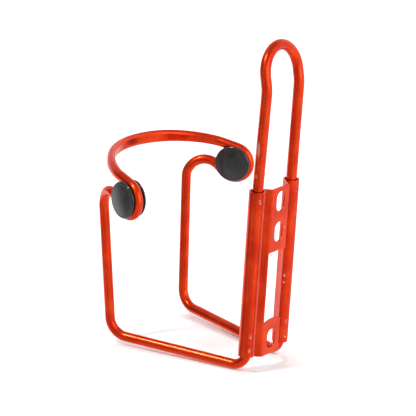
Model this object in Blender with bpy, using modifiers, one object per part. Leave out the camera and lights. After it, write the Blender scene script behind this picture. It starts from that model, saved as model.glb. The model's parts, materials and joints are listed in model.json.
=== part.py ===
"""Bicycle bottle cage: two bent rods in a curled sheet back plate, with a turning button in each eye.

Built about the sleeves' lower end and carried by one empty, so that the origin ends up on the
mounting face. +Z runs up the plate, +Y points at the bicycle and -Y at the bottle.
"""
from math import acos, atan2, cos, hypot, pi, radians, sin, tan

import bmesh
import bpy
from mathutils import Matrix, Vector

mm = 0.001

# Stock
rod_radius = 2.375 * mm  # upper loop
wire_radius = 2.25 * mm  # cage wire
sheet = 0.6 * mm
running_gap = 0.3 * mm  # between the wire and the caps that turn on it, and between peg and socket

# Back plate
sleeve_half_pitch = 13.0 * mm
sleeve_length = 76.0 * mm
sleeve_gap = 0.62 * mm  # round the rod, taken up at the crimps
sleeve_radius = rod_radius + sleeve_gap + sheet / 2  # to the middle of the sheet
web_half_width = 6.4 * mm
web_face = 3.85 * mm  # rear face of the web, behind the sleeve axes
fold_radius = 1.3 * mm
seam_angle = radians(167)  # where the curled edge stops short of the flange
slot_heights = (69.4 * mm, 55.4 * mm, 5.4 * mm)
slot_size = (6.0 * mm, 9.1 * mm)
window_top = 46.6 * mm
window_foot = 13.8 * mm
window_crown = 15.0 * mm
foot_drop = 1.6 * mm  # web and flanges below the sleeves
foot_corner = 1.5 * mm
crimp_heights = (72.0 * mm, 65.2 * mm, 10.0 * mm, 3.4 * mm)
crimp_radius = 1.15 * mm
crimp_depth = 0.32 * mm
crimp_angles = {"left": radians(76), "right": radians(60)}  # about each sleeve, from +X towards +Y
mount_height = 62.4 * mm  # on the web, between the two upper slots

# Upper loop
loop_bend_height = 121.0 * mm
loop_bend_offset = 0.9 * mm
loop_half_width = 12.2 * mm  # at the bend and over the arch
loop_foot = Vector((13.1, -0.15, 61.0)) * mm
loop_lean = radians(12)
loop_rise = 5.6 * mm  # straight stretch between the bend and the arch

# Cage wire
grip_length = 15.0 * mm  # wire held inside a sleeve
run_height = -5.5 * mm  # at the sleeves
run_corner = Vector((27.1, -64.5, -3.3)) * mm
foot_bend_radius = 6.2 * mm
corner_bend_radius = 8.6 * mm
eye_angle = radians(17)  # of the eye's axis, from sideways towards the front
eye_reach = 41.4 * mm  # from the bottle's axis to the middle of the eye
bottle_axis = -37.0 * mm
eye_height = 66.6 * mm
eye_radius = 7.25 * mm
rod_wall_radius = 41.0 * mm  # plan curve from the eye to the upright
upright_arc = 22.3 * mm  # distance along the wall from the eye to the upright
over_bend_radius = 8.8 * mm
over_bend_drop = 9.3 * mm  # its centre below the eye's
strap_turn_radius = 11.5 * mm
strap_front_angle = radians(58.5)  # heading where the tight turn meets the front arc
strap_slope = 0.22
strap_rise = 11.6 * mm  # middle of the strap at the front, above the eye's centre
strap_thickness = 3.1 * mm
strap_height = 5.6 * mm
flatten_length = 42.0 * mm

# Buttons
cap_radius = 8.25 * mm
cap_thickness = 1.6 * mm
cap_crown = 0.3 * mm
cap_edge = 0.7 * mm
hub_radius = eye_radius - wire_radius - running_gap
peg_radius = 2.7 * mm
peg_length = 0.8 * mm


def clear_scene():
    for item in list(bpy.data.objects):
        bpy.data.objects.remove(item, do_unlink=True)


def new_collection(name):
    collection = bpy.data.collections.new(name)
    bpy.context.scene.collection.children.link(collection)
    return collection


def new_material(name, colour, roughness, metallic):
    material = bpy.data.materials.new(name)
    material.use_nodes = True
    material.diffuse_color = (*colour, 1)
    shader = material.node_tree.nodes["Principled BSDF"]
    shader.inputs["Base Color"].default_value = (*colour, 1)
    shader.inputs["Roughness"].default_value = roughness
    shader.inputs["Metallic"].default_value = metallic
    return material


def new_empty(name, matrix, parent, collection):
    empty = bpy.data.objects.new(name, None)
    empty.empty_display_size = 10 * mm
    collection.objects.link(empty)
    empty.parent = parent
    empty.matrix_local = matrix
    return empty


def new_piece(name, data, material, parent, collection):
    piece = bpy.data.objects.new(name, data)
    piece.parent = parent
    data.materials.clear()
    data.materials.append(material)
    collection.objects.link(piece)
    return piece


def add_modifier(piece, kind, **settings):
    modifier = piece.modifiers.new(kind.title(), kind)
    for key, value in settings.items():
        setattr(modifier, key, value)
    return modifier


def arc(centre, radius, start, end, steps):
    """Points of a flat arc, its two ends included."""
    angles = [start + (end - start) * i / steps for i in range(steps + 1)]
    return [Vector((centre[0] + radius * cos(a), centre[1] + radius * sin(a))) for a in angles]


def rounded_path(corners, radii, steps):
    """A polyline in space whose inner corners are replaced by arcs."""
    points = [corners[0]]
    for before, corner, after, radius in zip(corners, corners[1:], corners[2:], radii):
        back = (before - corner).normalized()
        ahead = (after - corner).normalized()
        half = back.angle(ahead) / 2
        centre = corner + (back + ahead).normalized() * radius / sin(half)
        first = corner + back * radius / tan(half) - centre
        last = corner + ahead * radius / tan(half) - centre
        points += [centre + first.slerp(last, i / steps) * radius for i in range(steps + 1)]
    points.append(corners[-1])
    return points


def prism(name, outline, half_depth, matrix, collection):
    """A closed mesh object made by extruding a flat outline both ways."""
    curve = bpy.data.curves.new(name, "CURVE")
    curve.dimensions = "2D"
    curve.fill_mode = "BOTH"
    curve.extrude = half_depth
    spline = curve.splines.new("POLY")
    spline.points.add(len(outline) - 1)
    for point, position in zip(spline.points, outline):
        point.co = (position[0], position[1], 0, 1)
    spline.use_cyclic_u = True
    drawing = bpy.data.objects.new(name + "_outline", curve)
    collection.objects.link(drawing)
    bpy.context.view_layer.update()
    evaluated = drawing.evaluated_get(bpy.context.evaluated_depsgraph_get())
    mesh = bpy.data.meshes.new_from_object(evaluated)
    bpy.data.objects.remove(drawing, do_unlink=True)
    mesh.transform(matrix)
    mesh.name = name
    form = bmesh.new()
    form.from_mesh(mesh)
    bmesh.ops.remove_doubles(form, verts=form.verts, dist=0.00001)
    bmesh.ops.recalc_face_normals(form, faces=form.faces)
    form.to_mesh(mesh)
    form.free()
    return mesh


def plate_half_line():
    """Middle line of the sheet from the web's centre to the curled edge, each point with its normal."""
    web_level = web_face - sheet / 2
    fold = Vector((web_half_width, web_level))
    to_sleeve = Vector((sleeve_half_pitch, 0)) - fold
    slope = atan2(-to_sleeve.y, to_sleeve.x) + acos_free(sleeve_radius / to_sleeve.length)
    inset = fold_radius * tan(slope / 2)
    fold_centre = (fold.x - inset, web_level - fold_radius)
    line = [(Vector((0, web_level)), Vector((0, 1)))]
    for point in arc(fold_centre, fold_radius, pi / 2, pi / 2 - slope, 4):
        line.append((point, (point - Vector(fold_centre)).normalized()))
    start = -pi / 2 - slope
    for point in arc((sleeve_half_pitch, 0), sleeve_radius, start, seam_angle, 26):
        line.append((point, (Vector((sleeve_half_pitch, 0)) - point).normalized()))
    return line


def acos_free(ratio):
    """Angle between a line to a circle's centre and the tangent to it."""
    return pi / 2 - acos(ratio)


def plate_outline():
    half = plate_half_line()
    rear = [point + normal * sheet / 2 for point, normal in half]
    front = [point - normal * sheet / 2 for point, normal in half]
    right = front[1:] + rear[:0:-1]
    left = [Vector((-point.x, point.y)) for point in reversed(right)]
    return right + left


def slot_outline(height):
    radius = slot_size[0] / 2
    reach = slot_size[1] / 2 - radius
    return arc((0, height + reach), radius, 0, pi, 8) + arc((0, height - reach), radius, pi, 2 * pi, 8)


def window_outline():
    half = web_half_width - 0.2 * mm
    rise = window_crown - window_foot
    radius = (half ** 2 + rise ** 2) / (2 * rise)
    spread = acos((radius - rise) / radius)
    sill = arc((0, window_crown - radius), radius, pi / 2 + spread, pi / 2 - spread, 12)
    return [Vector((half, window_top)), Vector((-half, window_top))] + sill


def foot_outline():
    """Everything below the plate's lower edge, where web and flanges hang below the sleeves."""
    half = sleeve_half_pitch - sleeve_radius
    level = foot_corner - foot_drop
    right = arc((half - foot_corner, level), foot_corner, -pi / 2, 0, 6)
    left = arc((foot_corner - half, level), foot_corner, pi, 1.5 * pi, 6)
    far = 2 * sleeve_half_pitch
    low = -10 * mm
    ends = Vector((far, 0)), Vector((far, low)), Vector((-far, low)), Vector((-far, 0))
    return left + right + [Vector((half, 0)), *ends, Vector((-half, 0))]


def add_cutter(plate, name, mesh, cage_frame, cutters):
    cutter = bpy.data.objects.new(name, mesh)
    cutter.parent = cage_frame
    cutter.hide_render = True
    cutter.display_type = "WIRE"
    cutters.objects.link(cutter)
    add_modifier(plate, "BOOLEAN", operation="DIFFERENCE", solver="EXACT", object=cutter)


def crimp_mesh(side, angle, height):
    """A ball that dents a sleeve to the crimp's depth, at an angle about it."""
    ball_radius = (crimp_radius ** 2 + crimp_depth ** 2) / (2 * crimp_depth)
    reach = sleeve_radius + sheet / 2 - crimp_depth + ball_radius
    place = Matrix.Translation((side * sleeve_half_pitch + reach * cos(angle), reach * sin(angle), height))
    turned = place @ Matrix.Rotation(angle, 4, "Z") @ Matrix.Rotation(pi / 2, 4, "Y")
    mesh = bpy.data.meshes.new("crimp_ball")
    form = bmesh.new()
    bmesh.ops.create_uvsphere(form, u_segments=12, v_segments=10, radius=ball_radius, matrix=turned)
    form.to_mesh(mesh)
    form.free()
    return mesh


def make_back_plate(material, cage_frame, collection, cutters):
    half_length = (sleeve_length + foot_drop) / 2
    lift = Matrix.Translation((0, 0, half_length - foot_drop))
    mesh = prism("back_plate", plate_outline(), half_length, lift, collection)
    plate = new_piece("back_plate", mesh, material, cage_frame, collection)
    upright = Matrix.Rotation(pi / 2, 4, "X")
    through_web = Matrix.Translation((0, web_face, 0)) @ upright
    for number, height in enumerate(slot_heights, 1):
        cutter = prism(f"slot_cutter_{number}", slot_outline(height), 2 * mm, through_web, cutters)
        add_cutter(plate, f"slot_cutter_{number}", cutter, cage_frame, cutters)
    window = prism("window_cutter", window_outline(), 2 * mm, through_web, cutters)
    add_cutter(plate, "window_cutter", window, cage_frame, cutters)
    foot = prism("foot_cutter", foot_outline(), 20 * mm, upright, cutters)
    add_cutter(plate, "foot_cutter", foot, cage_frame, cutters)
    for side, side_name in ((-1, "left"), (1, "right")):
        for number, height in enumerate(crimp_heights, 1):
            name = f"{side_name}_crimp_cutter_{number}"
            ball = crimp_mesh(side, crimp_angles[side_name], height)
            add_cutter(plate, name, ball, cage_frame, cutters)
    return plate


def loop_centreline():
    """Upper loop, from inside the right sleeve over the arch to inside the left one."""
    bend = Vector((loop_half_width, loop_bend_offset, loop_bend_height))
    lean = Vector((0, -sin(loop_lean), cos(loop_lean)))
    shoulder = bend + lean * loop_rise
    leg = rounded_path([loop_foot, bend, shoulder], [22 * mm], 4)
    crown = Vector((0, shoulder.y, shoulder.z))
    arch = [crown + lean * p.y + Vector((p.x, 0, 0)) for p in arc((0, 0), loop_half_width, 0, pi, 22)]
    mirrored = [Vector((-point.x, point.y, point.z)) for point in reversed(leg)]
    return leg[:-1] + arch + mirrored[1:]


def make_upper_loop(material, cage_frame, collection):
    curve = bpy.data.curves.new("upper_loop", "CURVE")
    curve.dimensions = "3D"
    curve.bevel_depth = rod_radius
    curve.bevel_resolution = 2
    curve.use_fill_caps = True
    path = loop_centreline()
    spline = curve.splines.new("POLY")
    spline.points.add(len(path) - 1)
    for point, position in zip(spline.points, path):
        point.co = (*position, 1)
    spline.use_smooth = True
    return new_piece("upper_loop", curve, material, cage_frame, collection)


def eye_centre(side):
    across = eye_reach * cos(eye_angle)
    return Vector((side * across, bottle_axis - eye_reach * sin(eye_angle), eye_height))


def wall_point(distance, turns):
    """Plan position and outward normal on the right wall, a distance forward of the eye's centre.

    The wall is straight beside the eye and then follows turns, each a radius and the angle it spans.
    """
    centre = eye_centre(1)
    heading = pi / 2 + eye_angle  # of travel towards the front, turned clockwise from +X
    position = Vector((centre.x, centre.y))
    straight = min(distance, eye_radius)
    position += Vector((cos(heading), -sin(heading))) * straight
    left = distance - straight
    for radius, span in turns:
        turned = min(left / radius, span)
        pivot = position - Vector((sin(heading), cos(heading))) * radius
        heading += turned
        position = pivot + Vector((sin(heading), cos(heading))) * radius
        left -= turned * radius
    return position, Vector((sin(heading), cos(heading), 0))


def strap_turns():
    """The strap's tight turn after the eye and the wide arc that ends on the plane of symmetry."""
    edge = wall_point(eye_radius, ())[0]
    first = pi / 2 - eye_angle - strap_front_angle
    leave = edge.x - strap_turn_radius * (cos(eye_angle) - sin(strap_front_angle))
    return ((strap_turn_radius, first), (leave / sin(strap_front_angle), strap_front_angle))


def wire_station(distance, height, turns, flatness):
    position, outward = wall_point(distance, turns)
    return Vector((position.x, position.y, eye_height + height)), outward, flatness


def upright_and_eye():
    """Stations from the upright's bend over and down, round the eye from below, to above its centre."""
    turns = ((rod_wall_radius, pi),)
    bend = Vector((upright_arc - over_bend_radius, -over_bend_drop))
    offset = atan2(-bend.y, -bend.x)
    cross = acos((over_bend_radius + eye_radius) / bend.length)
    leave = (offset - cross) % (2 * pi)
    stations = []
    for p in arc(bend, over_bend_radius, 0, leave, 9):
        stations.append(wire_station(p.x, p.y, turns, 0))
    enter = leave - pi
    last = -1.5 * pi + atan2(strap_slope, 1)
    for p in arc((0, 0), eye_radius, enter, last, 18):
        stations.append(wire_station(p.x, p.y, turns, 0))
    return stations


def strap():
    """Stations from the top of the eye to the front, easing from the eye's slope to level."""
    turns = strap_turns()
    slope_angle = atan2(strap_slope, 1)
    start = -eye_radius * sin(slope_angle)
    start_height = eye_radius * cos(slope_angle)
    finish = eye_radius + sum(radius * span for radius, span in turns)
    length = finish - start
    rise = strap_rise - start_height
    steps = 20
    stations = []
    for i in range(1, steps + 1):
        t = i / steps
        ease = t * t * (3 - 2 * t) * rise + t * (1 - t) ** 2 * length * strap_slope
        flatness = min(max((start + length * t) / flatten_length, 0), 1)
        flatness = flatness ** 2 * (3 - 2 * flatness)
        stations.append(wire_station(start + length * t, start_height + ease, turns, flatness))
    return stations


def lower_run():
    """Stations from inside the right sleeve, forward along the run and round the corner to the upright."""
    upright_top = upright_and_eye()[0][0]
    inside = Vector((sleeve_half_pitch, 0, grip_length))
    turn_down = Vector((sleeve_half_pitch, 0, run_height))
    path = rounded_path([inside, turn_down, run_corner, upright_top],
                        [foot_bend_radius, corner_bend_radius], 8)
    return [(point, Vector((1, 0, 0)), 0) for point in path[:-1]]


def wire_ring(centre, along, outward, flatness, sides=16):
    """A rod's round section, pressed towards a flat strap as flatness goes to 1."""
    outward = (outward - along * outward.dot(along)).normalized()
    across = along.cross(outward)
    radius = wire_radius + (strap_thickness / 2 - wire_radius) * flatness
    flat = (strap_height - strap_thickness) / 2 * flatness
    ring = []
    for i in range(sides):
        angle = 2 * pi * (i + 0.5) / sides
        shift = flat if sin(angle) > 0 else -flat
        ring.append(centre + outward * radius * cos(angle) + across * (radius * sin(angle) + shift))
    return ring


def make_cage_wire(material, cage_frame, collection):
    half = lower_run() + upright_and_eye() + strap()
    flip = Vector((-1, 1, 1))
    other = [(point * flip, outward * flip, flatness) for point, outward, flatness in reversed(half[:-1])]
    stations = half + other
    form = bmesh.new()
    rings = []
    for i, (point, outward, flatness) in enumerate(stations):
        before = stations[max(i - 1, 0)][0]
        after = stations[min(i + 1, len(stations) - 1)][0]
        ring = wire_ring(point, (after - before).normalized(), outward, flatness)
        rings.append([form.verts.new(corner) for corner in ring])
    for first, second in zip(rings, rings[1:]):
        for i in range(len(first)):
            j = (i + 1) % len(first)
            form.faces.new((first[i], second[i], second[j], first[j])).smooth = True
    form.faces.new(rings[0])
    form.faces.new(reversed(rings[-1]))
    bmesh.ops.recalc_face_normals(form, faces=form.faces)
    mesh = bpy.data.meshes.new("cage_wire")
    form.to_mesh(mesh)
    form.free()
    return new_piece("cage_wire", mesh, material, cage_frame, collection)


def turned_piece(name, profile, material, parent, collection):
    """Turn a profile, listed as radius and height from its top to its bottom, about the local Z axis."""
    mesh = bpy.data.meshes.new(name)
    points = [(radius, 0, height) for radius, height in profile]
    mesh.from_pydata(points, [(i, i + 1) for i in range(len(points) - 1)], [])
    piece = new_piece(name, mesh, material, parent, collection)
    add_modifier(piece, "SCREW", steps=40, render_steps=40, use_merge_vertices=True, merge_threshold=0.00001)
    return piece


def cap_face(level):
    """Crowned face and rounded rim of a cap, from the axis out to its flat back at the level given."""
    top = level + cap_thickness
    profile = [(0, top + cap_crown)]
    for reach in (0.35, 0.65, 0.9):
        radius = reach * (cap_radius - cap_edge)
        profile.append((radius, top + cap_crown * (1 - reach ** 2)))
    rim = arc((cap_radius - cap_edge, top - cap_edge), cap_edge, pi / 2, 0, 4)
    profile += [(point.x, point.y) for point in rim]
    return profile + [(cap_radius, level + 0.3 * mm), (cap_radius - 0.3 * mm, level)]


def outer_cap_profile():
    level = wire_radius + running_gap
    socket = peg_radius + running_gap
    depth = peg_length + running_gap
    return cap_face(level) + [(socket, level), (socket, level + depth), (0, level + depth)]


def inner_cap_profile():
    """Listed as seen with the cap's face up: the hub and peg hang below it, through the eye."""
    level = wire_radius + running_gap
    hub_end = -wire_radius
    peg_end = -level - peg_length + running_gap
    hub = [(hub_radius, level), (hub_radius, hub_end), (peg_radius, hub_end)]
    return cap_face(level) + hub + [(peg_radius, peg_end), (0, peg_end)]


def make_button(side, side_name, material, cage_frame, collection):
    """Both caps of one button, on an empty whose Z axis is the eye's axis, pointing away from the bottle."""
    outward = Vector((side * cos(eye_angle), -sin(eye_angle), 0))
    turn = outward.to_track_quat("Z", "Y").to_matrix().to_4x4()
    place = Matrix.Translation(eye_centre(side)) @ turn
    axis = new_empty(f"{side_name}_eye_axis", place, cage_frame, collection)
    turned_piece(f"{side_name}_outer_cap", outer_cap_profile(), material, axis, collection)
    inner = turned_piece(f"{side_name}_inner_cap", inner_cap_profile(), material, axis, collection)
    inner.rotation_euler = (pi, 0, 0)


def main():
    clear_scene()
    collection = new_collection("water_bottle_cage")
    cutters = new_collection("cutters")
    red = new_material("red_anodised_aluminium", (0.72, 0.06, 0.02), 0.32, 0.85)
    black = new_material("black_gloss_plastic", (0.012, 0.012, 0.013), 0.18, 0.0)
    to_mount = Matrix.Translation((0, -web_face, -mount_height))
    cage_frame = new_empty("cage_frame", to_mount, None, collection)
    make_back_plate(red, cage_frame, collection, cutters)
    make_upper_loop(red, cage_frame, collection)
    make_cage_wire(red, cage_frame, collection)
    make_button(-1, "left", black, cage_frame, collection)
    make_button(1, "right", black, cage_frame, collection)


main()
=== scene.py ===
import json
from math import acos, asin, atan2, cos, pi, radians, sin, tan

import bmesh
import bpy
from mathutils import Matrix, Vector

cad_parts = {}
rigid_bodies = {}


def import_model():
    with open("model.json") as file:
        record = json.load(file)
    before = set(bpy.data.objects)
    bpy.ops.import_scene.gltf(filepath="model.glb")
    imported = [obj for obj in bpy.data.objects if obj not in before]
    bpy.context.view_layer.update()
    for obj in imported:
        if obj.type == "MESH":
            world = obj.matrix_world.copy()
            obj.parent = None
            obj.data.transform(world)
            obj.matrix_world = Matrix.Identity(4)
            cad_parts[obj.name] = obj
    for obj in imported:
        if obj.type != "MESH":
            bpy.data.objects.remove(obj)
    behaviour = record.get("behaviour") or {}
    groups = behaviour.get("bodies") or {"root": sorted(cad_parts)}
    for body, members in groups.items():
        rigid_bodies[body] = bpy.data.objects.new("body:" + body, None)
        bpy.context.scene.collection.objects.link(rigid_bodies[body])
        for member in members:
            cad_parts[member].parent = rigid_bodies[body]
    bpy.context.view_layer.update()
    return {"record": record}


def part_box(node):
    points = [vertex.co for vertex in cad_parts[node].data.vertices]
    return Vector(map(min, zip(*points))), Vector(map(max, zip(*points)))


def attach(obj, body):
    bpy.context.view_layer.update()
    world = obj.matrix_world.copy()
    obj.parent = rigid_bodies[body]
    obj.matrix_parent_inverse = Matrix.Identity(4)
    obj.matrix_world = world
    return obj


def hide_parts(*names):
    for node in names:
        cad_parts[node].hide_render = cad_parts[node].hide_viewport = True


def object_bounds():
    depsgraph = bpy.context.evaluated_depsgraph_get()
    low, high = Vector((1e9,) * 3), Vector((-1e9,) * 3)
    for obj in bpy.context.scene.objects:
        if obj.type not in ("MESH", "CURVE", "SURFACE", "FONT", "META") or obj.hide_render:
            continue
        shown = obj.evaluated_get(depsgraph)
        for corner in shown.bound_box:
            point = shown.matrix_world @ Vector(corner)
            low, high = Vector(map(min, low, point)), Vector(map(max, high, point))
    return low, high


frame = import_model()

mm = 0.001

plateLow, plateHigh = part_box("back_plate")
joints = {joint["name"]: joint for joint in frame["record"]["behaviour"]["joints"]}
eyePlace = Vector(joints["right_button_turn"]["pos_m"])
eyeAxis = Vector(joints["right_button_turn"]["axis"])

plate = {
    "sheet": 0.6 * mm,
    "sleeveBore": 2.995 * mm,
    "webHalfWidth": 6.4 * mm,
    "foldRadius": 1.3 * mm,
    "seamAngle": radians(167),
    "footDrop": 1.6 * mm,  # web and flanges below the sleeves
    "footCorner": 1.5 * mm,
    "slotHeights": (69.4 * mm, 55.4 * mm, 5.4 * mm),
    "slotSize": (6.0 * mm, 9.1 * mm),
    "windowTop": 46.6 * mm,
    "windowFoot": 13.8 * mm,
    "windowCrown": 15.0 * mm,
    "windowInset": 0.2 * mm,
    "windowCorner": 0.6 * mm,
    "edgeRound": 0.13 * mm,
    "creaseAngle": radians(80),  # line rolled into each sleeve's rear
    "creaseHalfWidth": radians(3.2),
    "creaseDepth": 0.2 * mm,
}
outerRadius = plate["sleeveBore"] + plate["sheet"]
sleeveX = plateHigh.x - outerRadius  # the sleeves' axes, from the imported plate
sleeveY = plateLow.y + outerRadius
sleeveFoot = plateLow.z + plate["footDrop"]
sleeveTop = plateHigh.z
webFace = plateHigh.y
origin = Vector((0, sleeveY, sleeveFoot))


class Value:
    # a shader socket that takes part in ordinary sums
    def __init__(self, recipe, socket):
        self.recipe = recipe
        self.socket = socket

    def calc(self, kind, first, second):
        return self.recipe.node("Math", {"operation": kind}, {0: first, 1: second})

    def __add__(self, other):
        return self.calc("ADD", self, other)

    def __radd__(self, other):
        return self.calc("ADD", other, self)

    def __sub__(self, other):
        return self.calc("SUBTRACT", self, other)

    def __rsub__(self, other):
        return self.calc("SUBTRACT", other, self)

    def __mul__(self, other):
        return self.calc("MULTIPLY", self, other)

    def __rmul__(self, other):
        return self.calc("MULTIPLY", other, self)

    def clip(self, low, high):
        # 0 below low, 1 above high, smooth between
        settings = {"interpolation_type": "SMOOTHSTEP"}
        return self.recipe.node("MapRange", settings, {0: self, 1: low, 2: high})


class Recipe:
    # the nodes of one material or world, added by type, settings and socket values
    def __init__(self, owner, shader, **shaderValues):
        self.owner = owner
        owner.use_nodes = True
        self.tree = owner.node_tree
        self.shader = self.tree.nodes[shader]
        self.set(**shaderValues)

    def feed(self, socket, value):
        if isinstance(value, Value):
            self.tree.links.new(value.socket, socket)
        else:
            socket.default_value = value

    def node(self, kind, settings=None, values=None, output=0):
        made = self.tree.nodes.new("ShaderNode" + kind)
        for key, value in (settings or {}).items():
            setattr(made, key, value)
        for key, value in (values or {}).items():
            self.feed(made.inputs[key], value)
        return Value(self, made.outputs[output])

    def blend(self, factor, first, second):
        # colours mixed by a factor
        made = self.tree.nodes.new("ShaderNodeMix")
        made.data_type = "RGBA"
        self.feed(made.inputs[0], factor)
        self.feed(made.inputs[6], first)
        self.feed(made.inputs[7], second)
        return Value(self, made.outputs[2])

    def noise(self, vector, scale, detail=3.0, roughness=0.5):
        values = {"Vector": vector, "Scale": scale, "Detail": detail, "Roughness": roughness}
        return self.node("TexNoise", None, values)

    def stretch(self, vector, scale):
        return self.node("Mapping", None, {"Vector": vector, "Scale": scale})

    def set(self, **shaderValues):
        for name, value in shaderValues.items():
            words = "".join(" " + c if c.isupper() else c for c in name)
            self.feed(self.shader.inputs[words.title()], value)


def newFinish(name, **shaderValues):
    return Recipe(bpy.data.materials.new(name), "Principled BSDF", **shaderValues)


anodised = {
    "deep": (0.66, 0.024, 0.003, 1),
    "bright": (0.88, 0.064, 0.009, 1),
    "bare": (0.86, 0.50, 0.42, 1),
    "roughness": 0.26,
    "pitsPerMetre": 900.0,
}


def rubMarks(recipe, place, marks):
    # soft elongated patches, each given by its middle, its half sizes and its strength
    total = 0.0
    for middle, halfSizes, strength in marks:
        offset = recipe.node("VectorMath", {"operation": "SUBTRACT"}, {0: place, 1: middle})
        offset = recipe.node("VectorMath", {"operation": "DIVIDE"}, {0: offset, 1: halfSizes})
        distance = recipe.node("VectorMath", {"operation": "LENGTH"}, {0: offset}, 1)
        total = (1 - distance).clip(0.0, 0.6) * strength + total
    return total


def anodisedMetal(name, coordinates, grain, marks):
    # dyed oxide over aluminium: drawn grain, cloudy dye, pits, rubbed streaks and chips
    recipe = newFinish(name, metallic=0.97, coatWeight=0.12, coatRoughness=0.12)
    place = coordinates(recipe)
    cloud = recipe.noise(place, 90.0, 4.0, 0.55)
    drawn = recipe.noise(recipe.stretch(place, grain), 1.0, 3.0, 0.6)
    speckle = recipe.noise(place, 2600.0, 2.0, 0.5)
    tone = (cloud * 0.6 + drawn * 0.4).clip(0.34, 0.66)
    dyed = recipe.blend(tone, anodised["deep"], anodised["bright"])
    streaks = recipe.noise(recipe.stretch(place, tuple(0.45 * g for g in grain)), 1.0, 5.0, 0.7)
    thin = streaks.clip(0.62, 0.78) * recipe.noise(place, 38.0, 2.0, 0.5).clip(0.54, 0.68) * 0.5
    pits = recipe.noise(place, anodised["pitsPerMetre"], 1.0, 0.4).clip(0.80, 0.84) * 0.7
    rubbed = rubMarks(recipe, objectPlace(recipe), marks) * streaks.clip(0.30, 0.62)
    worn = (thin + pits + rubbed).clip(0.0, 1.0)
    colour = recipe.blend(worn, dyed, anodised["bare"])
    rough = anodised["roughness"] + cloud * 0.10 + drawn * 0.08 + worn * 0.15 - 0.09
    wave = recipe.noise(place, 55.0, 1.0, 0.4)
    height = wave * 2.2 + drawn * 0.30 + speckle * 0.16 + cloud * 0.5 - worn * 0.4
    bump = recipe.node("Bump", None, {"Strength": 0.35, "Distance": 0.00010, "Height": height})
    recipe.set(baseColor=colour, roughness=rough, normal=bump)
    return recipe.owner


def objectPlace(recipe):
    return recipe.node("TexCoord", None, None, 3)


def sweptPlace(recipe):
    # round the rod and along it, in metres, from the attributes that the sweep stores
    around = recipe.node("Attribute", {"attribute_name": "around"}, None, 2)
    along = recipe.node("Attribute", {"attribute_name": "along"}, None, 2)
    turn = around * (2 * pi)
    ringRadius = 2.4 * mm  # near enough to both rods
    ringX = recipe.node("Math", {"operation": "COSINE"}, {0: turn}) * ringRadius
    ringY = recipe.node("Math", {"operation": "SINE"}, {0: turn}) * ringRadius
    return recipe.node("CombineXYZ", None, {0: ringX, 1: ringY, 2: along})


def wornEdge():
    # cut edges where the dye has rubbed thin
    recipe = newFinish("worn_sheet_edge", metallic=0.9, coatWeight=0.1)
    place = objectPlace(recipe)
    patch = recipe.noise(place, 340.0, 4.0, 0.6).clip(0.40, 0.66)
    colour = recipe.blend(patch, (0.62, 0.030, 0.008, 1), (0.80, 0.22, 0.14, 1))
    recipe.set(baseColor=colour, roughness=patch * 0.15 + 0.32)
    return recipe.owner


def paintedShadeMetal(name, paintedShade, bruisedAndGlint, spotsFrom):
    # dents and creases: dark with painted shade, and lighter spots that are partly metal scraped by the
    # tool and partly painted glints
    recipe = newFinish(name, metallic=0.85)
    place = objectPlace(recipe)
    bruiseAndGlint = recipe.noise(place, 1300.0, 3.0, 0.6).clip(spotsFrom, spotsFrom + 0.10)
    colour = recipe.blend(bruiseAndGlint, paintedShade, bruisedAndGlint)
    bump = recipe.node("Bump", None, {"Strength": 0.5, "Distance": 0.0001, "Height": bruiseAndGlint})
    recipe.set(baseColor=colour, roughness=bruiseAndGlint * -0.12 + 0.40, normal=bump)
    return recipe.owner


def glossPlastic():
    recipe = newFinish("black_gloss_plastic", coatWeight=0.15, coatRoughness=0.05)
    place = objectPlace(recipe)
    haze = recipe.noise(place, 160.0, 3.0, 0.5)
    scuff = recipe.noise(recipe.stretch(place, (900.0, 240.0, 700.0)), 1.0, 4.0, 0.7).clip(0.66, 0.76)
    mould = recipe.noise(place, 1500.0, 2.0, 0.5)
    colour = recipe.blend(haze.clip(0.3, 0.7), (0.010, 0.010, 0.011, 1), (0.019, 0.019, 0.020, 1))
    height = mould * 0.6 + haze * 0.4 - scuff * 0.4
    bump = recipe.node("Bump", None, {"Strength": 0.12, "Distance": 0.00008, "Height": height})
    recipe.set(baseColor=colour, roughness=haze * 0.08 + scuff * 0.18 + 0.12, normal=bump)
    return recipe.owner


def arcPoints(centre, radius, start, end, steps):
    angles = [start + (end - start) * i / steps for i in range(steps + 1)]
    return [Vector((centre[0] + radius * cos(a), centre[1] + radius * sin(a))) for a in angles]


def roundedPath(corners, radii, steps):
    # a polyline in space with arcs for its inner corners
    points = [corners[0]]
    for before, corner, after, radius in zip(corners, corners[1:], corners[2:], radii):
        back = (before - corner).normalized()
        ahead = (after - corner).normalized()
        half = back.angle(ahead) / 2
        centre = corner + (back + ahead).normalized() * radius / sin(half)
        first = corner + back * radius / tan(half) - centre
        last = corner + ahead * radius / tan(half) - centre
        points += [centre + first.slerp(last, i / steps) * radius for i in range(steps + 1)]
    points.append(corners[-1])
    return points


def stations(points, outward, flatness):
    return [(point, outward, flatness) for point in points]


def densify(path, spacing):
    # adds stations on long straights so that stored lengths and noise stay even
    dense = [path[0]]
    for first, second in zip(path, path[1:]):
        pieces = max(1, round((second[0] - first[0]).length / spacing))
        for i in range(1, pieces + 1):
            t = i / pieces
            point = first[0].lerp(second[0], t)
            outward = first[1].lerp(second[1], t)
            dense.append((point, outward, first[2] + (second[2] - first[2]) * t))
    return dense


def newObject(name, data):
    made = bpy.data.objects.new(name, data)
    bpy.context.scene.collection.objects.link(made)
    return made


def bakeModifiers(made, name):
    # the evaluated shape as a plain mesh on a fresh object
    bpy.context.view_layer.update()
    depsgraph = bpy.context.evaluated_depsgraph_get()
    evaluated = made.evaluated_get(depsgraph)
    mesh = bpy.data.meshes.new_from_object(evaluated, preserve_all_data_layers=True, depsgraph=depsgraph)
    mesh.name = name
    old = made.data
    bpy.data.objects.remove(made, do_unlink=True)
    if old.users == 0:
        bpy.data.batch_remove([old])
    return newObject(name, mesh)


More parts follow.
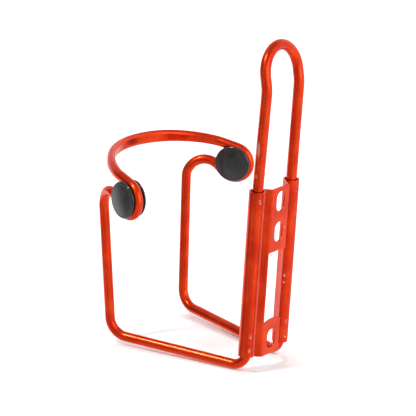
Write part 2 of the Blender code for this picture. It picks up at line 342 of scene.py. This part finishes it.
def cleanMesh(mesh, weld=0, flatAngle=0):
    # welds close points, joins flat faces and turns every face outward
    form = bmesh.new()
    form.from_mesh(mesh)
    if weld:
        bmesh.ops.remove_doubles(form, verts=form.verts, dist=weld)
    if flatAngle:
        bmesh.ops.dissolve_limit(form, angle_limit=flatAngle, verts=form.verts, edges=form.edges)
    bmesh.ops.recalc_face_normals(form, faces=form.faces)
    form.to_mesh(mesh)
    form.free()


def pathMesh(name, path):
    # a chain of edges whose points carry the wall's outward direction and the flatness
    mesh = bpy.data.meshes.new(name)
    mesh.from_pydata([p[0] for p in path], [(i, i + 1) for i in range(len(path) - 1)], [])
    mesh.attributes.new("outward", "FLOAT_VECTOR", "POINT")
    mesh.attributes.new("flatness", "FLOAT", "POINT")
    outward = mesh.attributes["outward"].data
    flatness = mesh.attributes["flatness"].data
    for i, station in enumerate(path):
        before = path[max(i - 1, 0)][0]
        after = path[min(i + 1, len(path) - 1)][0]
        travel = (after - before).normalized()
        outward[i].vector = (station[1] - travel * station[1].dot(travel)).normalized()
        flatness[i].value = station[2]
    return mesh


class GeometryRecipe:
    # a geometry tree with named inputs
    def __init__(self, name, inputs):
        self.tree = bpy.data.node_groups.new(name, "GeometryNodeTree")
        face = self.tree.interface
        face.new_socket("Geometry", in_out="INPUT", socket_type="NodeSocketGeometry")
        for label, kind in inputs:
            face.new_socket(label, in_out="INPUT", socket_type="NodeSocket" + kind)
        face.new_socket("Geometry", in_out="OUTPUT", socket_type="NodeSocketGeometry")
        self.source = self.tree.nodes.new("NodeGroupInput").outputs
        self.target = self.tree.nodes.new("NodeGroupOutput").inputs

    def node(self, kind, settings=None, values=None, output=0):
        made = self.tree.nodes.new(kind)
        for key, value in (settings or {}).items():
            setattr(made, key, value)
        for key, value in (values or {}).items():
            socket = made.inputs[key]
            if isinstance(value, bpy.types.NodeSocket):
                self.tree.links.new(value, socket)
            else:
                socket.default_value = value
        return made.outputs[output]

    def maths(self, kind, first, second=0.0):
        return self.node("ShaderNodeMath", {"operation": kind}, {0: first, 1: second})

    def vectors(self, kind, first, second):
        output = 1 if kind == "DOT_PRODUCT" else 0
        return self.node("ShaderNodeVectorMath", {"operation": kind}, {0: first, 1: second}, output)

    def scaled(self, vector, factor):
        return self.node("ShaderNodeVectorMath", {"operation": "SCALE"}, {0: vector, "Scale": factor})

    def named(self, label, kind):
        return self.node("GeometryNodeInputNamedAttribute", {"data_type": kind}, {"Name": label})

    def store(self, geometry, label, kind, value):
        values = {"Geometry": geometry, "Name": label, "Value": value}
        return self.node("GeometryNodeStoreNamedAttribute", {"data_type": kind}, values)

    def finish(self, geometry, material):
        smooth = self.node("GeometryNodeSetShadeSmooth", None, {"Geometry": geometry})
        real = self.node("GeometryNodeRealizeInstances", None, {"Geometry": smooth})
        painted = self.node("GeometryNodeSetMaterial", None, {"Geometry": real, "Material": material})
        self.tree.links.new(painted, self.target["Geometry"])

    def apply(self, made, settings):
        # inputs go in by identifier, before the object is first evaluated
        modifier = made.modifiers.new(self.tree.name, "NODES")
        modifier.node_group = self.tree
        for item in self.tree.interface.items_tree:
            if item.in_out == "INPUT" and item.name in settings:
                modifier[item.identifier] = settings[item.name]


def sweptRodTree():
    # a round section swept along a path and pressed towards a flat strap where flatness rises
    inputs = (("Radius", "Float"), ("Sides", "Int"), ("Strap Thickness", "Float"),
              ("Strap Height", "Float"), ("Material", "Material"))
    tree = GeometryRecipe("swept_rod", inputs)
    source = tree.source
    outward = tree.named("outward", "FLOAT_VECTOR")
    flatness = tree.named("flatness", "FLOAT")
    curve = tree.node("GeometryNodeMeshToCurve", None, {"Mesh": source["Geometry"]})
    curve = tree.node("GeometryNodeSetCurveNormal", {"mode": "FREE"},
                      {"Curve": curve, "Normal": outward})
    centre = tree.node("GeometryNodeInputPosition")
    curve = tree.store(curve, "core", "FLOAT_VECTOR", centre)
    length = tree.node("GeometryNodeSplineParameter", None, None, 1)
    curve = tree.store(curve, "along", "FLOAT", length)
    ring = tree.node("GeometryNodeCurvePrimitiveCircle", None,
                     {"Resolution": source["Sides"], "Radius": source["Radius"]})
    factor = tree.node("GeometryNodeSplineParameter", None, None, 0)
    ring = tree.store(ring, "around", "FLOAT", factor)
    halfStep = tree.maths("DIVIDE", pi, source["Sides"])  # no vertex on the outward axis itself
    turned = tree.node("ShaderNodeCombineXYZ", None, {2: halfStep})
    ring = tree.node("GeometryNodeTransform", None, {"Geometry": ring, "Rotation": turned})
    rod = tree.node("GeometryNodeCurveToMesh", None,
                    {"Curve": curve, "Profile Curve": ring, "Fill Caps": True})
    core = tree.named("core", "FLOAT_VECTOR")
    position = tree.node("GeometryNodeInputPosition")
    offset = tree.vectors("SUBTRACT", position, core)
    outwardPart = tree.scaled(outward, tree.vectors("DOT_PRODUCT", offset, outward))
    acrossPart = tree.vectors("SUBTRACT", offset, outwardPart)
    halfThickness = tree.maths("MULTIPLY", source["Strap Thickness"], 0.5)
    pressed = tree.maths("DIVIDE", halfThickness, source["Radius"])
    shrink = tree.maths("MULTIPLY", tree.maths("SUBTRACT", pressed, 1.0), flatness)
    keep = tree.maths("ADD", shrink, 1.0)
    spread = tree.maths("SUBTRACT", source["Strap Height"], source["Strap Thickness"])
    spread = tree.maths("MULTIPLY", tree.maths("MULTIPLY", spread, 0.5), flatness)
    direction = tree.node("ShaderNodeVectorMath", {"operation": "NORMALIZE"}, {0: acrossPart})
    rounded = tree.scaled(offset, keep)
    moved = tree.vectors("ADD", tree.vectors("ADD", core, rounded), tree.scaled(direction, spread))
    rod = tree.node("GeometryNodeSetPosition", None, {"Geometry": rod, "Position": moved})
    tree.finish(rod, source["Material"])
    return tree


sweptRod = sweptRodTree()
stationSpacing = 1.5 * mm


def makeRod(name, path, settings, material, node):
    made = newObject(name + "_path", pathMesh(name + "_path", path))
    sweptRod.apply(made, {**settings, "Material": material})
    made = bakeModifiers(made, name)
    cleanMesh(made.data)
    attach(made, "cage")
    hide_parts(node)
    print(name, "faces", len(made.data.polygons))


loop = {
    "radius": 2.375 * mm,
    "halfWidth": 12.2 * mm,
    "foot": Vector((13.1, -0.15, 61.0)) * mm,
    "bendHeight": 121.0 * mm,
    "bendOffset": 0.9 * mm,
    "bendRadius": 22 * mm,
    "lean": radians(12),
    "rise": 5.48 * mm,
}


def loopPath():
    bend = Vector((loop["halfWidth"], loop["bendOffset"], loop["bendHeight"]))
    lean = Vector((0, -sin(loop["lean"]), cos(loop["lean"])))
    shoulder = bend + lean * loop["rise"]
    leg = roundedPath([loop["foot"], bend, shoulder], [loop["bendRadius"]], 10)
    crown = Vector((0, shoulder.y, shoulder.z))
    half = arcPoints((0, 0), loop["halfWidth"], 0, pi, 72)
    arch = [crown + lean * p.y + Vector((p.x, 0, 0)) for p in half]
    mirrored = [Vector((-p.x, p.y, p.z)) for p in reversed(leg)]
    points = [origin + p for p in leg[:-1] + arch + mirrored[1:]]
    return densify(stations(points, Vector((0, 1, 0)), 0.0), stationSpacing)


wire = {
    "radius": 2.205 * mm,
    "grip": 15.0 * mm,
    "runDrop": 5.5 * mm,
    "corner": Vector((27.1, -64.5, -3.3)) * mm,
    "footBend": 6.2 * mm,
    "cornerBend": 8.6 * mm,
    "eyeRadius": 7.25 * mm,
    "wallRadius": 41.0 * mm,
    "uprightArc": 22.3 * mm,
    "overRadius": 8.8 * mm,
    "overDrop": 9.3 * mm,
    "strapTurn": 11.5 * mm,
    "strapFront": radians(58.5),
    "strapSlope": 0.22,
    "strapRise": 11.6 * mm,
    "flattenLength": 42.0 * mm,
}
wireSettings = {
    "Radius": wire["radius"],
    "Sides": 48,
    "Strap Thickness": 3.03 * mm,
    "Strap Height": 5.6 * mm,
}
eyeAngle = asin(-eyeAxis.y)


def wallPoint(distance, turns):
    # plan place and outward direction on the right wall, forward of the eye's centre
    heading = pi / 2 + eyeAngle
    place = Vector((eyePlace.x, eyePlace.y))
    straight = min(distance, wire["eyeRadius"])
    place += Vector((cos(heading), -sin(heading))) * straight
    left = distance - straight
    for radius, span in turns:
        turned = min(left / radius, span)
        pivot = place - Vector((sin(heading), cos(heading))) * radius
        heading += turned
        place = pivot + Vector((sin(heading), cos(heading))) * radius
        left -= turned * radius
    return place, Vector((sin(heading), cos(heading), 0))


def wallStation(distance, height, turns, flatness):
    place, outward = wallPoint(distance, turns)
    return Vector((place.x, place.y, eyePlace.z + height)), outward, flatness


def overAndEye():
    # over the upright's top, down behind and round under the eye to its top
    turns = ((wire["wallRadius"], pi),)
    bend = Vector((wire["uprightArc"] - wire["overRadius"], -wire["overDrop"]))
    offset = atan2(-bend.y, -bend.x)
    cross = acos((wire["overRadius"] + wire["eyeRadius"]) / bend.length)
    leave = (offset - cross) % (2 * pi)
    found = [wallStation(p.x, p.y, turns, 0) for p in arcPoints(bend, wire["overRadius"], 0, leave, 30)]
    last = -1.5 * pi + atan2(wire["strapSlope"], 1)
    for p in arcPoints((0, 0), wire["eyeRadius"], leave - pi, last, 60):
        found.append(wallStation(p.x, p.y, turns, 0))
    return found


def strapStations():
    edge = wallPoint(wire["eyeRadius"], ())[0]
    first = pi / 2 - eyeAngle - wire["strapFront"]
    leave = edge.x - wire["strapTurn"] * (cos(eyeAngle) - sin(wire["strapFront"]))
    turns = ((wire["strapTurn"], first), (leave / sin(wire["strapFront"]), wire["strapFront"]))
    slope = atan2(wire["strapSlope"], 1)
    start = -wire["eyeRadius"] * sin(slope)
    startHeight = wire["eyeRadius"] * cos(slope)
    length = wire["eyeRadius"] + sum(radius * span for radius, span in turns) - start
    rise = wire["strapRise"] - startHeight
    steps = 80
    found = []
    for i in range(1, steps + 1):
        t = i / steps
        ease = t * t * (3 - 2 * t) * rise + t * (1 - t) ** 2 * length * wire["strapSlope"]
        flatness = min(max((start + length * t) / wire["flattenLength"], 0), 1)
        flatness = flatness ** 2 * (3 - 2 * flatness)
        found.append(wallStation(start + length * t, startHeight + ease, turns, flatness))
    return found


def wirePath():
    upper = overAndEye()
    inside = origin + Vector((sleeveX, 0, wire["grip"]))
    turnDown = origin + Vector((sleeveX, 0, -wire["runDrop"]))
    corners = [inside, turnDown, origin + wire["corner"], upper[0][0]]
    lower = roundedPath(corners, [wire["footBend"], wire["cornerBend"]], 24)
    half = stations(lower[:-1], Vector((1, 0, 0)), 0.0) + upper + strapStations()
    flip = Vector((-1, 1, 1))
    other = [(point * flip, outward * flip, flat) for point, outward, flat in reversed(half[:-1])]
    return densify(half + other, stationSpacing)


def plateLine():
    # the sheet's middle line from the web's centre to the curled edge, with its rear normal
    middle = plate["sleeveBore"] + plate["sheet"] / 2
    level = webFace - sleeveY - plate["sheet"] / 2
    fold = Vector((plate["webHalfWidth"], level))
    toSleeve = Vector((sleeveX, 0)) - fold
    slope = atan2(-toSleeve.y, toSleeve.x) + asin(middle / toSleeve.length)
    foldCentre = Vector((fold.x - plate["foldRadius"] * tan(slope / 2), level - plate["foldRadius"]))
    line = [(Vector((0, level)), Vector((0, 1)))]
    for p in arcPoints(foldCentre, plate["foldRadius"], pi / 2, pi / 2 - slope, 10):
        line.append((p, (p - foldCentre).normalized()))
    sleeve = Vector((sleeveX, 0))
    crease, halfWidth = plate["creaseAngle"], plate["creaseHalfWidth"]
    stops = [-pi / 2 - slope, crease - halfWidth, crease + halfWidth, plate["seamAngle"]]
    for start, end, steps in zip(stops, stops[1:], (52, 10, 20)):
        skipped = 0 if start == stops[0] else 1  # a stretch starts where the last one ended
        for p in arcPoints(sleeve, middle, start, end, steps)[skipped:]:
            line.append((p, (sleeve - p).normalized()))
    return line


def creaseDip(point):
    # how far the sleeve's outer face sinks at a point of its middle line
    out = point - Vector((sleeveX, 0))
    turned = abs(atan2(out.y, out.x) - plate["creaseAngle"]) / plate["creaseHalfWidth"]
    onSleeve = point.x > plate["webHalfWidth"] + 2 * mm
    return plate["creaseDepth"] * cos(turned * pi / 2) ** 2 if onSleeve and turned < 1 else 0


def plateOutline():
    half = plateLine()
    rear = [p + normal * plate["sheet"] / 2 for p, normal in half]
    front = [p - normal * (plate["sheet"] / 2 - creaseDip(p)) for p, normal in half]
    right = front[1:] + rear[:0:-1]
    return right + [Vector((-p.x, p.y)) for p in reversed(right)]


def prismMesh(name, outline, halfDepth, matrix):
    curve = bpy.data.curves.new(name, "CURVE")
    curve.dimensions = "2D"
    curve.fill_mode = "BOTH"
    curve.extrude = halfDepth
    spline = curve.splines.new("POLY")
    spline.points.add(len(outline) - 1)
    for point, place in zip(spline.points, outline):
        point.co = (place[0], place[1], 0, 1)
    spline.use_cyclic_u = True
    made = bakeModifiers(newObject(name, curve), name)
    mesh = made.data
    bpy.data.objects.remove(made, do_unlink=True)
    mesh.transform(matrix)
    cleanMesh(mesh, weld=0.005 * mm, flatAngle=radians(0.5))
    return mesh


def slotOutline(height):
    radius = plate["slotSize"][0] / 2
    reach = plate["slotSize"][1] / 2 - radius
    upper = arcPoints((0, height + reach), radius, 0, pi, 20)
    lower = arcPoints((0, height - reach), radius, pi, 2 * pi, 20)
    return upper + lower


def windowOutline():
    half = plate["webHalfWidth"] - plate["windowInset"]
    rise = plate["windowCrown"] - plate["windowFoot"]
    radius = (half ** 2 + rise ** 2) / (2 * rise)
    spread = asin(half / radius)
    sill = arcPoints((0, plate["windowCrown"] - radius), radius, pi / 2 + spread, pi / 2 - spread, 24)
    top = plate["windowTop"]
    bend = plate["windowCorner"]
    corners = arcPoints((half - bend, top - bend), bend, 0, pi / 2, 6)
    corners += arcPoints((bend - half, top - bend), bend, pi / 2, pi, 6)
    return corners + sill


def footOutline():
    half = sleeveX - plate["sleeveBore"] - plate["sheet"] / 2
    corner = plate["footCorner"]
    level = corner - plate["footDrop"]
    right = arcPoints((half - corner, level), corner, -pi / 2, 0, 12)
    left = arcPoints((corner - half, level), corner, pi, 1.5 * pi, 12)
    far = 2 * sleeveX
    low = -10 * mm
    ends = [Vector((far, 0)), Vector((far, low)), Vector((-far, low)), Vector((-far, 0))]
    return left + right + [Vector((half, 0))] + ends + [Vector((-half, 0))]


def addBoolean(made, cutter):
    modifier = made.modifiers.new(cutter.name, "BOOLEAN")
    modifier.operation = "DIFFERENCE"
    modifier.solver = "EXACT"
    modifier.object = cutter


crimp = {
    "radius": 1.15 * mm,
    "depth": 0.42 * mm,
    "heights": (72.0 * mm, 65.2 * mm, 10.0 * mm, 3.4 * mm),
    "angles": {-1: radians(76), 1: radians(60)},
}


def crimpTree():
    # a punch ball on each point, standing off the sleeve by its own point's normal
    inputs = (("Ball Radius", "Float"), ("Segments", "Int"), ("Material", "Material"))
    tree = GeometryRecipe("crimp_punches", inputs)
    source = tree.source
    ball = tree.node("GeometryNodeMeshUVSphere", None,
                     {"Segments": source["Segments"], "Rings": 20, "Radius": source["Ball Radius"]})
    turn = tree.node("FunctionNodeAlignRotationToVector", {"axis": "Z"},
                     {"Vector": tree.named("outward", "FLOAT_VECTOR")})
    balls = tree.node("GeometryNodeInstanceOnPoints", None,
                      {"Points": source["Geometry"], "Instance": ball, "Rotation": turn})
    tree.finish(balls, source["Material"])
    return tree


def crimpCutter(material):
    ballRadius = (crimp["radius"] ** 2 + crimp["depth"] ** 2) / (2 * crimp["depth"])
    reach = outerRadius - crimp["depth"] + ballRadius
    marks = []
    for side, angle in crimp["angles"].items():
        away = Vector((cos(angle), sin(angle), 0))
        for height in crimp["heights"]:
            marks.append((origin + Vector((side * sleeveX, 0, height)) + away * reach, away))
    mesh = bpy.data.meshes.new("crimp_marks")
    mesh.from_pydata([place for place, away in marks], [], [])
    outward = mesh.attributes.new("outward", "FLOAT_VECTOR", "POINT")
    for i, (place, away) in enumerate(marks):
        outward.data[i].vector = away
    made = newObject("crimp_marks", mesh)
    crimpTree().apply(made, {"Ball Radius": ballRadius, "Segments": 36, "Material": material})
    return bakeModifiers(made, "crimp_punches")


def paintLongFaces(mesh):
    # long edges are rolled smooth and only cut ones wear, and the crease takes a dark finish of painted
    # shade
    webEdge = plate["webHalfWidth"] - 0.5 * mm
    creaseReach = 0.7 * plate["creaseHalfWidth"]
    creaseFloor = outerRadius - 0.25 * mm
    for face in mesh.polygons:
        if abs(face.center.x) > webEdge and abs(face.normal.z) < 0.3:
            out = Vector((abs(face.center.x) - sleeveX, face.center.y - sleeveY))
            turned = abs(atan2(out.y, out.x) - plate["creaseAngle"])
            inCrease = turned < creaseReach and out.length > creaseFloor
            face.material_index = 2 if inCrease else 0


def makePlate(sheetMetal, edgeMetal, dentShadeMetal, creaseShadeMetal):
    length = sleeveTop - plateLow.z
    lift = Matrix.Translation((0, sleeveY, plateLow.z + length / 2))
    name = "back_plate_sheet"
    made = newObject(name, prismMesh(name, plateOutline(), length / 2, lift))
    upright = Matrix.Translation(origin) @ Matrix.Rotation(pi / 2, 4, "X")
    throughWeb = Matrix.Translation((0, webFace - sleeveY, 0)) @ upright
    webCut = 2 * mm  # half depths, clear of the sheet on both sides
    footCut = 20 * mm
    outlines = [(slotOutline(height), webCut, throughWeb) for height in plate["slotHeights"]]
    outlines.append((windowOutline(), webCut, throughWeb))
    outlines.append((footOutline(), footCut, upright))
    cutters = []
    for number, (outline, halfDepth, matrix) in enumerate(outlines):
        cutterName = f"cutter_{number}"
        cutters.append(newObject(cutterName, prismMesh(cutterName, outline, halfDepth, matrix)))
        addBoolean(made, cutters[-1])
    for metal in (sheetMetal, edgeMetal, creaseShadeMetal):
        made.data.materials.append(metal)
    made = bakeModifiers(made, name)
    bevel = made.modifiers.new("rounded_edges", "BEVEL")
    bevel.width = plate["edgeRound"]
    bevel.segments = 3
    bevel.limit_method = "ANGLE"
    bevel.angle_limit = radians(40)
    bevel.material = 1
    bevel.harden_normals = False
    made = bakeModifiers(made, name)
    paintLongFaces(made.data)
    punches = crimpCutter(dentShadeMetal)
    cutters.append(punches)
    addBoolean(made, punches)
    made = bakeModifiers(made, name)
    for cutter in cutters:
        bpy.data.objects.remove(cutter, do_unlink=True)
    made.data.shade_smooth()
    made.data.set_sharp_from_angle(angle=radians(38))
    weighted = made.modifiers.new("weighted_normals", "WEIGHTED_NORMAL")
    weighted.keep_sharp = True
    made = bakeModifiers(made, name)
    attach(made, "cage")
    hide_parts("back_plate")
    print(name, "faces", len(made.data.polygons))


cap = {
    "radius": 8.25 * mm,
    "peak": 1.9 * mm,  # above the running level
    "lift": 0.25 * mm,  # of the rim's back off the running level
    "dome": 0.62 * mm,
    "shoulder": 0.85 * mm,
    "backEdge": 0.18 * mm,
    "grooveAt": 6.9 * mm,
    "grooveWidth": 0.3 * mm,
    "grooveDepth": 0.07 * mm,
    "gap": 0.3 * mm,
    "peg": 2.7 * mm,
    "pegLength": 0.8 * mm,
    "level": 2.55 * mm,  # the running level, where the caps clear the wire
    "hub": 4.7 * mm,
    "boss": 5.2 * mm,
    "turns": 144,
}


def capFace(inner):
    # domed face, its fine ring groove, a rounded shoulder and the rim's rounded back
    top = cap["level"] + cap["peak"]
    reach = cap["radius"] - cap["shoulder"]
    profile = []
    for i in range(61):
        radius = reach * i / 60
        height = top - cap["dome"] * (radius / reach) ** 2
        dip = 0 if inner else max(0, 1 - ((radius - cap["grooveAt"]) / cap["grooveWidth"]) ** 2)
        profile.append((radius, height - cap["grooveDepth"] * dip ** 2))
    lean = atan2(2 * cap["dome"], reach)
    level = top - cap["dome"] - cap["shoulder"]
    profile += [tuple(p) for p in arcPoints((reach, level), cap["shoulder"], pi / 2 - lean, 0, 14)]
    back = cap["level"] + cap["lift"]
    centre = (cap["radius"] - cap["backEdge"], back + cap["backEdge"])
    profile += [tuple(p) for p in arcPoints(centre, cap["backEdge"], 0, -pi / 2, 8)]
    return profile


def capProfile(inner):
    # from the middle of the face to the middle of the back
    back = cap["level"] + cap["lift"]
    if not inner:
        socket = cap["peg"] + cap["gap"]
        roof = cap["level"] + cap["pegLength"] + cap["gap"]
        rim = [(cap["boss"], back), (cap["boss"], cap["level"]), (socket, cap["level"])]
        return capFace(inner) + rim + [(socket, roof), (0, roof)]
    pegEnd = -cap["level"] - cap["pegLength"] + cap["gap"]
    hub = [(cap["hub"], back), (cap["hub"], -wire["radius"]), (cap["peg"], -wire["radius"])]
    return capFace(inner) + hub + [(cap["peg"], pegEnd), (0, pegEnd)]


def makeCap(sideName, side, inner, plastic):
    name = f"{sideName}_{'inner' if inner else 'outer'}_cap"
    outward = Vector((side * eyeAxis.x, eyeAxis.y, 0))
    place = Vector((side * eyePlace.x, eyePlace.y, eyePlace.z))
    turn = outward.to_track_quat("Z", "Y").to_matrix().to_4x4()
    if inner:
        turn = turn @ Matrix.Rotation(pi, 4, "X")
    mesh = bpy.data.meshes.new(name + "_moulding")
    profile = capProfile(inner)
    mesh.from_pydata([(r, 0, z) for r, z in profile], [(i, i + 1) for i in range(len(profile) - 1)], [])
    made = newObject(name + "_profile", mesh)
    screw = made.modifiers.new("turned", "SCREW")
    screw.steps = cap["turns"]
    screw.render_steps = cap["turns"]
    screw.use_merge_vertices = True
    screw.merge_threshold = 0.005 * mm
    made = bakeModifiers(made, name + "_moulding")
    made.data.transform(Matrix.Translation(place) @ turn)
    cleanMesh(made.data, weld=0.001 * mm)
    made.data.shade_smooth()
    made.data.set_sharp_from_angle(angle=radians(40))
    made.data.materials.append(plastic)
    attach(made, f"{sideName}_button")
    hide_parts(name)
    print(made.name, "faces", len(made.data.polygons))


def makeFloor():
    recipe = newFinish("pale_floor", roughness=0.75)
    place = objectPlace(recipe)
    tint = recipe.noise(place, 3.0, 2.0, 0.5).clip(0.3, 0.7)
    recipe.set(baseColor=recipe.blend(tint, (0.93, 0.93, 0.93, 1), (0.95, 0.95, 0.95, 1)))
    mesh = bpy.data.meshes.new("floor")
    form = bmesh.new()
    level = Matrix.Translation((0, 0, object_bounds()[0].z))
    bmesh.ops.create_grid(form, x_segments=4, y_segments=4, size=4.0, matrix=level)
    form.to_mesh(mesh)
    form.free()
    mesh.materials.append(recipe.owner)
    floor = newObject("floor", mesh)
    floor.visible_glossy = False  # the surround stands in for it in the metal's reflections


view = {
    "azimuth": radians(125.035),
    "elevation": radians(18.03),
    "roll": radians(3.597),
    "distance": 1.1085,
    "fieldOfView": radians(9.463),
    "aim": Vector((7.45, -33.11, -2.44)) * mm,
}


studio = {
    "reach": 1.3,
    "base": 0.74,
    "rightWall": 0.30,
    "rearWall": 0.12,
    "below": 0.10,
    "ceiling": -0.25,  # dimmer than the base
    "cameraShade": 0.30,
    "sideShade": 0.45,
    "lowWindow": 0.7,
}


def headingTo(turn, lift=0.0):
    # direction turned to the camera's left below zero and to its right above, and lifted from level
    heading = view["azimuth"] + turn
    return Vector((sin(heading) * cos(lift), -cos(heading) * cos(lift), sin(lift)))


def addSoftbox(name, turn, lift, size, power, mirrored=True):
    # turned to the right and lifted, as seen from the middle with the camera straight ahead
    data = bpy.data.lights.new(name, "AREA")
    data.shape = "RECTANGLE"
    data.size, data.size_y = size
    data.energy = power
    lamp = newObject(name, data)
    lamp.location = view["aim"] + headingTo(turn, lift) * studio["reach"]
    lamp.rotation_euler = (view["aim"] - lamp.location).to_track_quat("-Z", "Y").to_euler()
    lamp.visible_camera = False
    lamp.visible_glossy = mirrored


def makeSurround():
    # what the metal mirrors: paler walls on the right and behind, a dimmer ceiling, shade on the left
    # and beside the camera, and a small low window; a direct look meets plain white
    world = Recipe(bpy.data.worlds.new("studio"), "Background")
    bpy.context.scene.world = world.owner
    direction = world.node("TexCoord")

    def towards(aim):
        return world.node("VectorMath", {"operation": "DOT_PRODUCT"}, {0: direction, 1: aim}, 1)

    level = towards((0, 0, 1))
    glow = towards(headingTo(radians(95))).clip(0.0, 0.75) * studio["rightWall"]
    glow = towards(headingTo(radians(-165))).clip(0.35, 0.95) * studio["rearWall"] + glow
    glow = level.clip(0.45, 0.95) * studio["ceiling"] + glow
    glow = (-1 * level).clip(0.28, 0.60) * studio["below"] + glow
    glow = glow - towards(headingTo(radians(-26))).clip(0.86, 0.99) * studio["cameraShade"]
    glow = glow - towards(headingTo(radians(-90), radians(4))).clip(0.70, 0.96) * studio["sideShade"]
    lowWindow = towards(headingTo(radians(-122), radians(-24))).clip(0.92, 0.995)
    glow = lowWindow * studio["lowWindow"] + glow
    seen = world.node("LightPath")
    world.set(color=(1, 1, 1, 1), strength=(glow + studio["base"]) * (1 - seen) + seen)


def makeStudio():
    makeSurround()
    addSoftbox("key", radians(50), radians(22), (0.8, 0.9), 5)
    addSoftbox("strip", radians(-60), radians(56), (0.10, 0.30), 9)
    addSoftbox("back_fill", radians(170), radians(60), (0.9, 0.9), 8, mirrored=False)
    bpy.context.scene.view_settings.view_transform = "Standard"


def makeCamera():
    data = bpy.data.cameras.new("camera")
    data.sensor_fit = "HORIZONTAL"
    data.angle = view["fieldOfView"]
    camera = newObject("camera", data)
    turn, lift = view["azimuth"], view["elevation"]
    back = Vector((sin(turn) * cos(lift), -cos(turn) * cos(lift), sin(lift)))
    right = Vector((cos(turn), sin(turn), 0))
    up = back.cross(right)
    across = right * cos(view["roll"]) + up * sin(view["roll"])
    upward = up * cos(view["roll"]) - right * sin(view["roll"])
    turned = Matrix((across, upward, back)).transposed().to_4x4()
    camera.matrix_world = Matrix.Translation(view["aim"] + back * view["distance"]) @ turned
    bpy.context.scene.camera = camera


nearLeg = Vector((sleeveX, sleeveY, sleeveTop))
farSleeve = Vector((-sleeveX + 2.95 * mm, sleeveY + 1.9 * mm, sleeveFoot))
legMarks = (  # a rub mark and a chip above the near sleeve
    (nearLeg + Vector((2.0, 0.3, 18.8)) * mm, (0.0011, 0.0011, 0.0050), 1.0),
    (nearLeg + Vector((2.3, 0, 7.0)) * mm, (0.0009, 0.0010, 0.0016), 0.7),
)
plateMarks = (  # chips on the far sleeve and the web
    (farSleeve + Vector((0, 0, 32.0)) * mm, (0.0006, 0.0006, 0.0010), 1.6),
    (farSleeve + Vector((0, 0, 28.8)) * mm, (0.0006, 0.0006, 0.0007), 1.6),
    (Vector((-4.4 * mm, webFace, sleeveFoot + 56.5 * mm)), (0.0007, 0.0007, 0.0007), 0.9),
)
rodMetal = anodisedMetal("anodised_rod", sweptPlace, (2600.0, 2600.0, 90.0), legMarks)
sheetMetal = anodisedMetal("anodised_sheet", objectPlace, (1500.0, 1500.0, 60.0), plateMarks)
edgeMetal = wornEdge()
# painted shade: the punched dents are coloured near black for the shade inside them, and their pale
# spots are partly bare metal and partly painted glints
dentShadeMetal = paintedShadeMetal("punched_dent_painted_shade", (0.035, 0.006, 0.004, 1), (0.50, 0.36, 0.30, 1), 0.58)
# painted shade: the rolled crease is coloured dark red for the shadowed line where the sleeve meets the
# flange
creaseShadeMetal = paintedShadeMetal("rolled_crease_painted_shade", (0.20, 0.008, 0.003, 1), (0.42, 0.05, 0.03, 1), 0.56)
plastic = glossPlastic()
print("materials ready")

loopSettings = {**wireSettings, "Radius": loop["radius"]}
makeRod("upper_loop_rod", loopPath(), loopSettings, rodMetal, "upper_loop")
makeRod("cage_wire_rod", wirePath(), wireSettings, rodMetal, "cage_wire")
makePlate(sheetMetal, edgeMetal, dentShadeMetal, creaseShadeMetal)
for sideName, side in (("left", -1), ("right", 1)):
    for inner in (False, True):
        makeCap(sideName, side, inner, plastic)
makeFloor()
makeStudio()
makeCamera()
print("floor, studio and camera ready")
